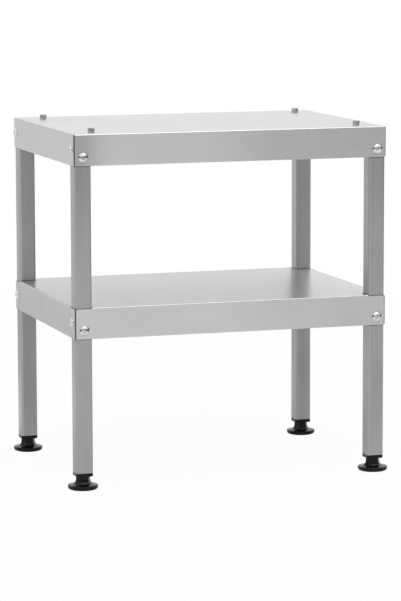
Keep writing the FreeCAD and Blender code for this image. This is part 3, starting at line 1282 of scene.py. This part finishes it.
@dataclass
class LevellingFeet:
    """The moulded feet, their threaded studs, and the plugs in the legs that the studs screw into.

    Attributes:
        sole: radius of the sole's edge.
        sole_recess: depth of the hollow in the sole.
        hollow: radius of the hollow.
        hollow_edge: width of the hollow's sloping edge.
        rim: radius of the disc.
        rim_low: height where the bowl of the rim ends.
        rim_high: height where the disc's upper face starts.
        rim_round: radius of the rim's upper edge.
        bowl_steps: rings up the bowl of the rim.
        rim_steps: rings round the rim's upper edge.
        fillet: width of the disc's upper face that rises into the flare.
        fillet_rise: how far it rises.
        crown: height where the flare starts.
        neck: half width across the flats of the neck.
        spread: how far the flare reaches out from the neck.
        flare: height of the flare.
        flare_steps: rings up the flare.
        flare_hexagon: how far the flare's foot is a hexagon, from 0 to 1.
        height: height of the foot.
        base_edge: width of the foot's softened edges.
        base_edge_steps: faces across a softened edge.
        base_edge_limit: least angle between faces that is softened, in degrees.
        bore: radius of the hole for the stud.
        pocket: radius of the pocket for the stud's head.
        pocket_low: height of the pocket's floor.
        pocket_high: height of the pocket's roof.
        count: points round a foot.
        stud: radius of the stud.
        stud_head: radius of its head.
        stud_head_height: height of its head.
        pitch: pitch of its thread.
        thread: depth of its thread.
        rows_a_pitch: rows of faces to each turn of the thread.
        crease: least angle between the stud's faces that stays sharp, in degrees.
        flange: height of the plug's flange.
        flange_corner: radius of the flange's corners.
        plug_bore: radius of the hole in the plug.
        plug_body: width of the plug in the leg.
        fin_width: width over the plug's fins.
        fin_height: height of a fin.
        fins: number of fins.
        plug_corner: radius of the corners of the plug in the leg.
        plug_edge: width of the plug's softened edges.
        per_corner: points on each corner of the plug.
    """

    sole: float = 15.0 * MM
    sole_recess: float = 0.6 * MM
    hollow: float = 9.0 * MM
    hollow_edge: float = 1.2 * MM
    rim: float = 19.5 * MM
    rim_low: float = 3.2 * MM
    rim_high: float = 6.0 * MM
    rim_round: float = 0.9 * MM
    bowl_steps: int = 5
    rim_steps: int = 4
    fillet: float = 2.5 * MM
    fillet_rise: float = 0.3125 * MM
    crown: float = 7.0 * MM
    neck: float = 8.2 * MM
    spread: float = 4.0 * MM
    flare: float = 6.4 * MM
    flare_steps: int = 8
    flare_hexagon: float = 0.45
    height: float = 17.3 * MM
    base_edge: float = 0.35 * MM
    base_edge_steps: int = 3
    base_edge_limit: float = 38.0
    bore: float = 4.05 * MM
    pocket: float = 5.55 * MM
    pocket_low: float = 2.5 * MM
    pocket_high: float = 6.6 * MM
    count: int = 72
    stud: float = 4.0 * MM
    stud_head: float = 5.5 * MM
    stud_head_height: float = 4.0 * MM
    pitch: float = 1.25 * MM
    thread: float = 0.7 * MM
    rows_a_pitch: int = 8
    crease: float = 50.0
    flange: float = 4.2 * MM
    flange_corner: float = 3.0 * MM
    plug_bore: float = 4.5 * MM
    plug_body: float = 18.0 * MM
    fin_width: float = 18.9 * MM
    fin_height: float = 1.2 * MM
    fins: int = 3
    plug_corner: float = 0.5 * MM
    plug_edge: float = 0.25 * MM
    per_corner: int = 7

    def build(self, rod: ThreadedRod) -> None:
        """Builds each corner's foot, stud and plug, and dresses them.

        Args:
            rod: the tree that makes the studs.
        """
        for corner in Corner:
            low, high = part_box(corner.named("foot_base"))
            middle = (low + high) / 2
            ground = Vector((middle.x, middle.y, 0.0))
            self.place_base(corner, ground)
            self.place_stud(corner, ground, rod)
            self.place_plug(corner, ground)

    def place_base(self, corner: Corner, ground: Vector) -> None:
        """Makes a corner's moulded foot.

        Args:
            corner: the corner.
            ground: the point on the floor under its leg.
        """
        node = corner.named("foot_base")
        mesh = loft(node, self.base_rings(), Ends.CAPPED)
        mesh = edged(mesh, self.base_edge, self.base_edge_steps, self.base_edge_limit)
        settle(moved(mesh, ground), f"{node}_moulded", corner.named("foot"), BLACK_FINISH, [node])

    def base_rings(self) -> list[Loop]:
        """Draws a foot from the middle of its sole, up over the disc and the neck, and down its bore.

        Returns:
            The rings in order.
        """
        bowl = (self.rim - self.sole, self.rim_low)
        rim_centre = (self.rim - self.rim_round, self.rim_high - self.rim_round)
        disc = [
            (self.hollow, self.sole_recess), (self.hollow + self.hollow_edge, 0.0),
            *arc((self.sole, self.rim_low), bowl, -90.0, 0.0, self.bowl_steps),
            *arc(rim_centre, (self.rim_round, self.rim_round), 0.0, 90.0, self.rim_steps),
            (self.neck + self.spread + self.fillet, self.crown - self.fillet_rise),
        ]
        rings = circles(disc, self.count)
        bow = (self.spread ** 2 + self.flare ** 2) / (2 * self.spread)
        sweep = math.degrees(math.asin(self.flare / bow))
        flare = arc((self.neck + bow, self.crown + self.flare), (bow, bow), 180.0 + sweep, 180.0, self.flare_steps)
        for step, (radius, height) in enumerate(flare):
            hexagonal = min(1.0, self.flare_hexagon + step / self.flare_steps)
            rings.append(circle(radius, height, self.count, hexagonal))
        rings.append(circle(self.neck, self.height, self.count, 1.0))
        return rings + circles([
            (self.bore, self.height), (self.bore, self.pocket_high),
            (self.pocket, self.pocket_high), (self.pocket, self.pocket_low),
        ], self.count)

    def place_stud(self, corner: Corner, ground: Vector, rod: ThreadedRod) -> None:
        """Makes a corner's threaded stud.

        Args:
            corner: the corner.
            ground: the point on the floor under its leg.
            rod: the tree that makes the stud.
        """
        node = corner.named("foot_stud")
        low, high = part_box(node)
        length = high.z - low.z
        mesh = rod.grow(bpy.data.meshes.new(node), {
            rod.RADIUS: self.stud,
            rod.LENGTH: length,
            rod.PITCH: self.pitch,
            rod.DEPTH: self.thread,
            rod.ROWS: round(self.rows_a_pitch * length / self.pitch),
            rod.HEAD: self.stud_head,
            rod.HEAD_HEIGHT: self.stud_head_height,
        }, PLATED_FINISH)
        mesh.shade_smooth()
        mesh.set_sharp_from_angle(angle=math.radians(self.crease))
        moved(mesh, ground + Vector((0, 0, low.z)))
        settle(mesh, f"{node}_threaded", corner.named("stud"), PLATED_FINISH, [node], dressed=True)

    def place_plug(self, corner: Corner, ground: Vector) -> None:
        """Makes the finned plug in a corner's leg.

        Args:
            corner: the corner.
            ground: the point on the floor under its leg.
        """
        node = corner.named("leg_plug")
        low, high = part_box(node)
        top = low.z + self.flange
        body = [(self.plug_body, top)]
        pitch = (high.z - top) / self.fins
        for index in range(self.fins):
            middle = top + (index + 0.5) * pitch
            under, over = middle - self.fin_height / 2, middle + self.fin_height / 2
            body += [(self.plug_body, under), (self.fin_width, under), (self.fin_width, over), (self.plug_body, over)]
        body.append((self.plug_body, high.z))
        flange = (low.z, top)
        loops = [rounded_square(high.x - low.x, self.flange_corner, height, self.per_corner) for height in flange]
        loops += [rounded_square(width, self.plug_corner, height, self.per_corner) for width, height in body]
        for height in (high.z, low.z):
            loops.append([Vector((*point.xy.normalized() * self.plug_bore, height)) for point in loops[0]])
        mesh = edged(loft(node, loops, Ends.JOINED), self.plug_edge)
        settle(moved(mesh, ground), f"{node}_finned", ROOT_BODY, BLACK_FINISH, [node])


@dataclass(frozen=True)
class Lamp:
    """A square soft lamp that faces the middle of the stand.

    Attributes:
        name: the lamp's name.
        place: where it hangs.
        side: its width.
        power: its power in watts.
        mirrored: whether the steel reflects it.
    """

    name: str
    place: Triple
    side: float
    power: float
    mirrored: bool

    def hang(self, aim: Vector) -> None:
        """Hangs the lamp.

        Args:
            aim: the point that it faces.
        """
        data = bpy.data.lights.new(self.name, "AREA")
        data.size = self.side
        data.energy = self.power
        lamp = bpy.data.objects.new(self.name, data)
        bpy.context.scene.collection.objects.link(lamp)
        lamp.location = self.place
        lamp.rotation_euler = (aim - lamp.location).to_track_quat("-Z", "Y").to_euler()
        lamp.visible_camera = False
        lamp.visible_glossy = self.mirrored


@dataclass(frozen=True)
class Card:
    """A grey studio card that the steel reflects and the camera doesn't see.

    Attributes:
        name: the card's name.
        place: its middle.
        size: its width and height.
        facing: side that it faces; its back is clear.
        level: its brightness, where 1 is white.
    """

    name: str
    place: Triple
    size: Pair
    facing: Side
    level: float

    def put(self) -> None:
        """Puts the card up."""
        mesh = quad(self.name, self.size)
        mesh.transform(Vector(self.facing.value).to_track_quat("Z", "Y").to_matrix().to_4x4())
        card = held(moved(mesh, Vector(self.place)))
        material, graph = blank_material(self.name)
        glow = graph.add("ShaderNodeEmission", {"Color": WHITE, "Strength": self.level})
        graph.end_veiled(glow.outputs["Emission"], graph.add("ShaderNodeNewGeometry").outputs["Backfacing"])
        mesh.materials.append(material)
        card.visible_camera = False
        card.visible_shadow = False


LAMPS = (
    Lamp("key", (-2.6, -2.2, 3.4), 2.6, 48.0, False),
    Lamp("overhead", (0.5, -0.9, 2.4), 1.6, 14.0, True),
)
CARDS = (
    Card("front_card", (1.2, -5.2, 1.7), (6.5, 3.4), Side.REAR, 0.55),
    Card("right_front_card", (1.15, -1.15, 0.7), (1.6, 1.16), Side.REAR, 0.47),
    Card("right_card", (2.2, -0.2, 0.25), (2.2, 0.5), Side.LEFT, 0.15),
    Card("left_card", (-2.6, -0.5, 0.25), (2.2, 0.5), Side.RIGHT, 0.25),
    Card("rear_left_card", (-1.2, 1.1, 0.7), (1.8, 1.0), Side.FRONT, 0.85),
    Card("rear_left_flag", (-0.193, 0.108, 0.2075), (0.026, 0.415), Side.REAR, 0.54),
    Card("rear_right_flag", (0.206, 0.108, 0.2075), (0.026, 0.415), Side.REAR, 0.5),
    Card("rear_floor_card", (-0.4, 1.4, 0.002), (1.3, 1.3), Side.ABOVE, 0.66),
    Card("rear_floor_glow", (-0.42, 0.5, 0.003), (0.4, 0.4), Side.ABOVE, 1.05),
    Card("front_right_flag", (0.3, -0.4, 0.07), (0.12, 0.12), Side.REAR, 0.6),
    Card("front_left_card", (-0.27, -0.45, 0.39), (0.34, 0.12), Side.REAR, 0.25),
)


@dataclass
class Studio:
    """Floor, soft light and camera.

    Attributes:
        floor_side: width of the floor.
        floor_greys: linear greys of its paper.
        floor_grain: marks a metre in its paper.
        veil: share of the floor near the stand that shows the white background through it.
        reflected_veil: that share in reflections, which keep more of the floor's shadow.
        veil_reach: distances at which the floor starts to fade, and has faded, into the background.
        ambient: strength of the world's light on matt surfaces.
        aim: height of the point that the lamps face.
        camera_place: the camera's place.
        yaw: the camera's turn to the right, in degrees.
        pitch: its tilt down, in degrees.
        roll: its roll, in degrees.
        lens: its focal length in millimetres.
        sensor: length of its sensor in millimetres.
        flags: cards on the left and right of each front screw: the side each faces, its distance from the screw's
            middle, its height above it, and its size.
        flag_level: their brightness.
        flag_lift: distance of their middles in front of the screws' crowns.
        screw_head: radius of the screws' heads.
    """

    floor_side: float = 14.0
    floor_greys: Pair = (0.84, 0.86)
    floor_grain: float = 40.0
    veil: float = 0.95
    reflected_veil: float = 0.3
    veil_reach: Pair = (0.5, 2.0)
    ambient: float = 0.64
    aim: float = 0.25
    camera_place: Triple = (-1.1810, -3.7095, 0.7532)
    yaw: float = 17.735
    pitch: float = 7.856
    roll: float = 0.149
    lens: float = 176.38
    sensor: float = 36.0
    flags: tuple[tuple[Side, float, float, Pair], ...] = (
        (Side.RIGHT, -6.9 * MM, 1.3 * MM, (8.0 * MM, 3.6 * MM)),
        (Side.LEFT, 6.9 * MM, 1.6 * MM, (8.0 * MM, 4.2 * MM)),
    )
    flag_level: float = 0.1
    flag_lift: float = 1.0 * MM
    screw_head: float = 6.0 * MM

    def build(self) -> None:
        """Builds the stage, and sets the scene's camera and view transform."""
        bpy.context.scene.view_settings.view_transform = "Standard"
        self.lay_floor()
        self.light_world()
        for lamp in LAMPS:
            lamp.hang(Vector((0.0, 0.0, self.aim)))
        for card in CARDS:
            card.put()
        self.flag_screws()
        self.set_camera()

    def lay_floor(self) -> None:
        """Lays a pale floor that keeps the stand's shadow under a white veil."""
        mesh = quad("floor", (self.floor_side, self.floor_side))
        material, graph = blank_material("pale_floor")
        place = graph.object_place()
        grain = graph.remap(graph.noise(place, (self.floor_grain,) * 3, detail=3.0))
        paper = graph.add("ShaderNodeBsdfDiffuse", {"Color": graph.shades(grain, self.floor_greys)})
        distance = graph.add("ShaderNodeVectorMath", {0: place}, operation="LENGTH").outputs["Value"]
        seen = graph.add("ShaderNodeLightPath").outputs["Is Camera Ray"]
        mirrored = graph.maths("SUBTRACT", graph.shown_ray(), seen)
        shares = []
        for ray, veil in ((seen, self.veil), (mirrored, self.reflected_veil)):
            shares.append(graph.maths("MULTIPLY", ray, graph.remap(distance, (veil, 1.0), self.veil_reach)))
        graph.end_veiled(paper.outputs["BSDF"], graph.maths("ADD", *shares))
        mesh.materials.append(material)
        held(mesh)

    def light_world(self) -> None:
        """White background for what is seen, and plain soft light for matt surfaces."""
        world = bpy.data.worlds.new("studio")
        bpy.context.scene.world = world
        world.use_nodes = True
        world.node_tree.nodes.clear()
        graph = ShaderGraph(world.node_tree)
        extra = graph.maths("MULTIPLY", graph.shown_ray(), 1.0 - self.ambient)
        strength = graph.maths("ADD", extra, self.ambient)
        background = graph.add("ShaderNodeBackground", {"Color": WHITE, "Strength": strength})
        graph.add("ShaderNodeOutputWorld", {"Surface": background.outputs["Background"]})

    def flag_screws(self) -> None:
        """Puts small dark cards beside the heads of the front screws, for their bright domes to reflect."""
        for node in (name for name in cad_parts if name.endswith("front_rear_screws")):
            low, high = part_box(node)
            middle = (low.z + high.z) / 2
            for screw in (low.x + self.screw_head, high.x - self.screw_head):
                for facing, gap, rise, size in self.flags:
                    place = (screw + gap, low.y - self.flag_lift, middle + rise)
                    Card(f"{node}_flag", place, size, facing, self.flag_level).put()

    def set_camera(self) -> None:
        """Sets the camera at the photograph's viewpoint."""
        yaw, pitch, roll = (math.radians(angle) for angle in (self.yaw, self.pitch, self.roll))
        ahead = Vector((math.sin(yaw), math.cos(yaw), 0.0))
        right = Vector((math.cos(yaw), -math.sin(yaw), 0.0))
        forward = math.cos(pitch) * ahead - math.sin(pitch) * UP
        down = -math.sin(pitch) * ahead - math.cos(pitch) * UP
        across = math.cos(roll) * right + math.sin(roll) * down
        below = -math.sin(roll) * right + math.cos(roll) * down
        turn = Matrix((across, -below, -forward)).transposed().to_4x4()
        data = bpy.data.cameras.new("photo_view")
        data.lens = self.lens
        data.sensor_width = self.sensor
        camera = bpy.data.objects.new("photo_view", data)
        bpy.context.scene.collection.objects.link(camera)
        camera.matrix_world = Matrix.Translation(self.camera_place) @ turn
        bpy.context.scene.camera = camera


def dress_hidden_nodes() -> None:
    """Gives the CAD nodes that stay, inside the legs, their plated finish."""
    for name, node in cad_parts.items():
        if name.startswith(("leg_inserts", "plug_nut")):
            node.data.materials.clear()
            node.data.materials.append(PLATED_FINISH.material())
            log.info("%s: CAD node kept", name)


def main() -> None:
    """Builds the stand's pieces in order, then the studio."""
    logging.basicConfig(level=logging.INFO, format="%(message)s")
    FoldedSheet("top_tray", dull=0.5).build()
    FoldedSheet("lower_shelf", notch=22.5 * MM).build()
    TubeLegs().build()
    set_out = SetOut()
    ApronScrews().build(set_out)
    LocatingPins().build(set_out)
    LevellingFeet().build(ThreadedRod())
    dress_hidden_nodes()
    Studio().build()


if __name__ == "__main__":
    main()
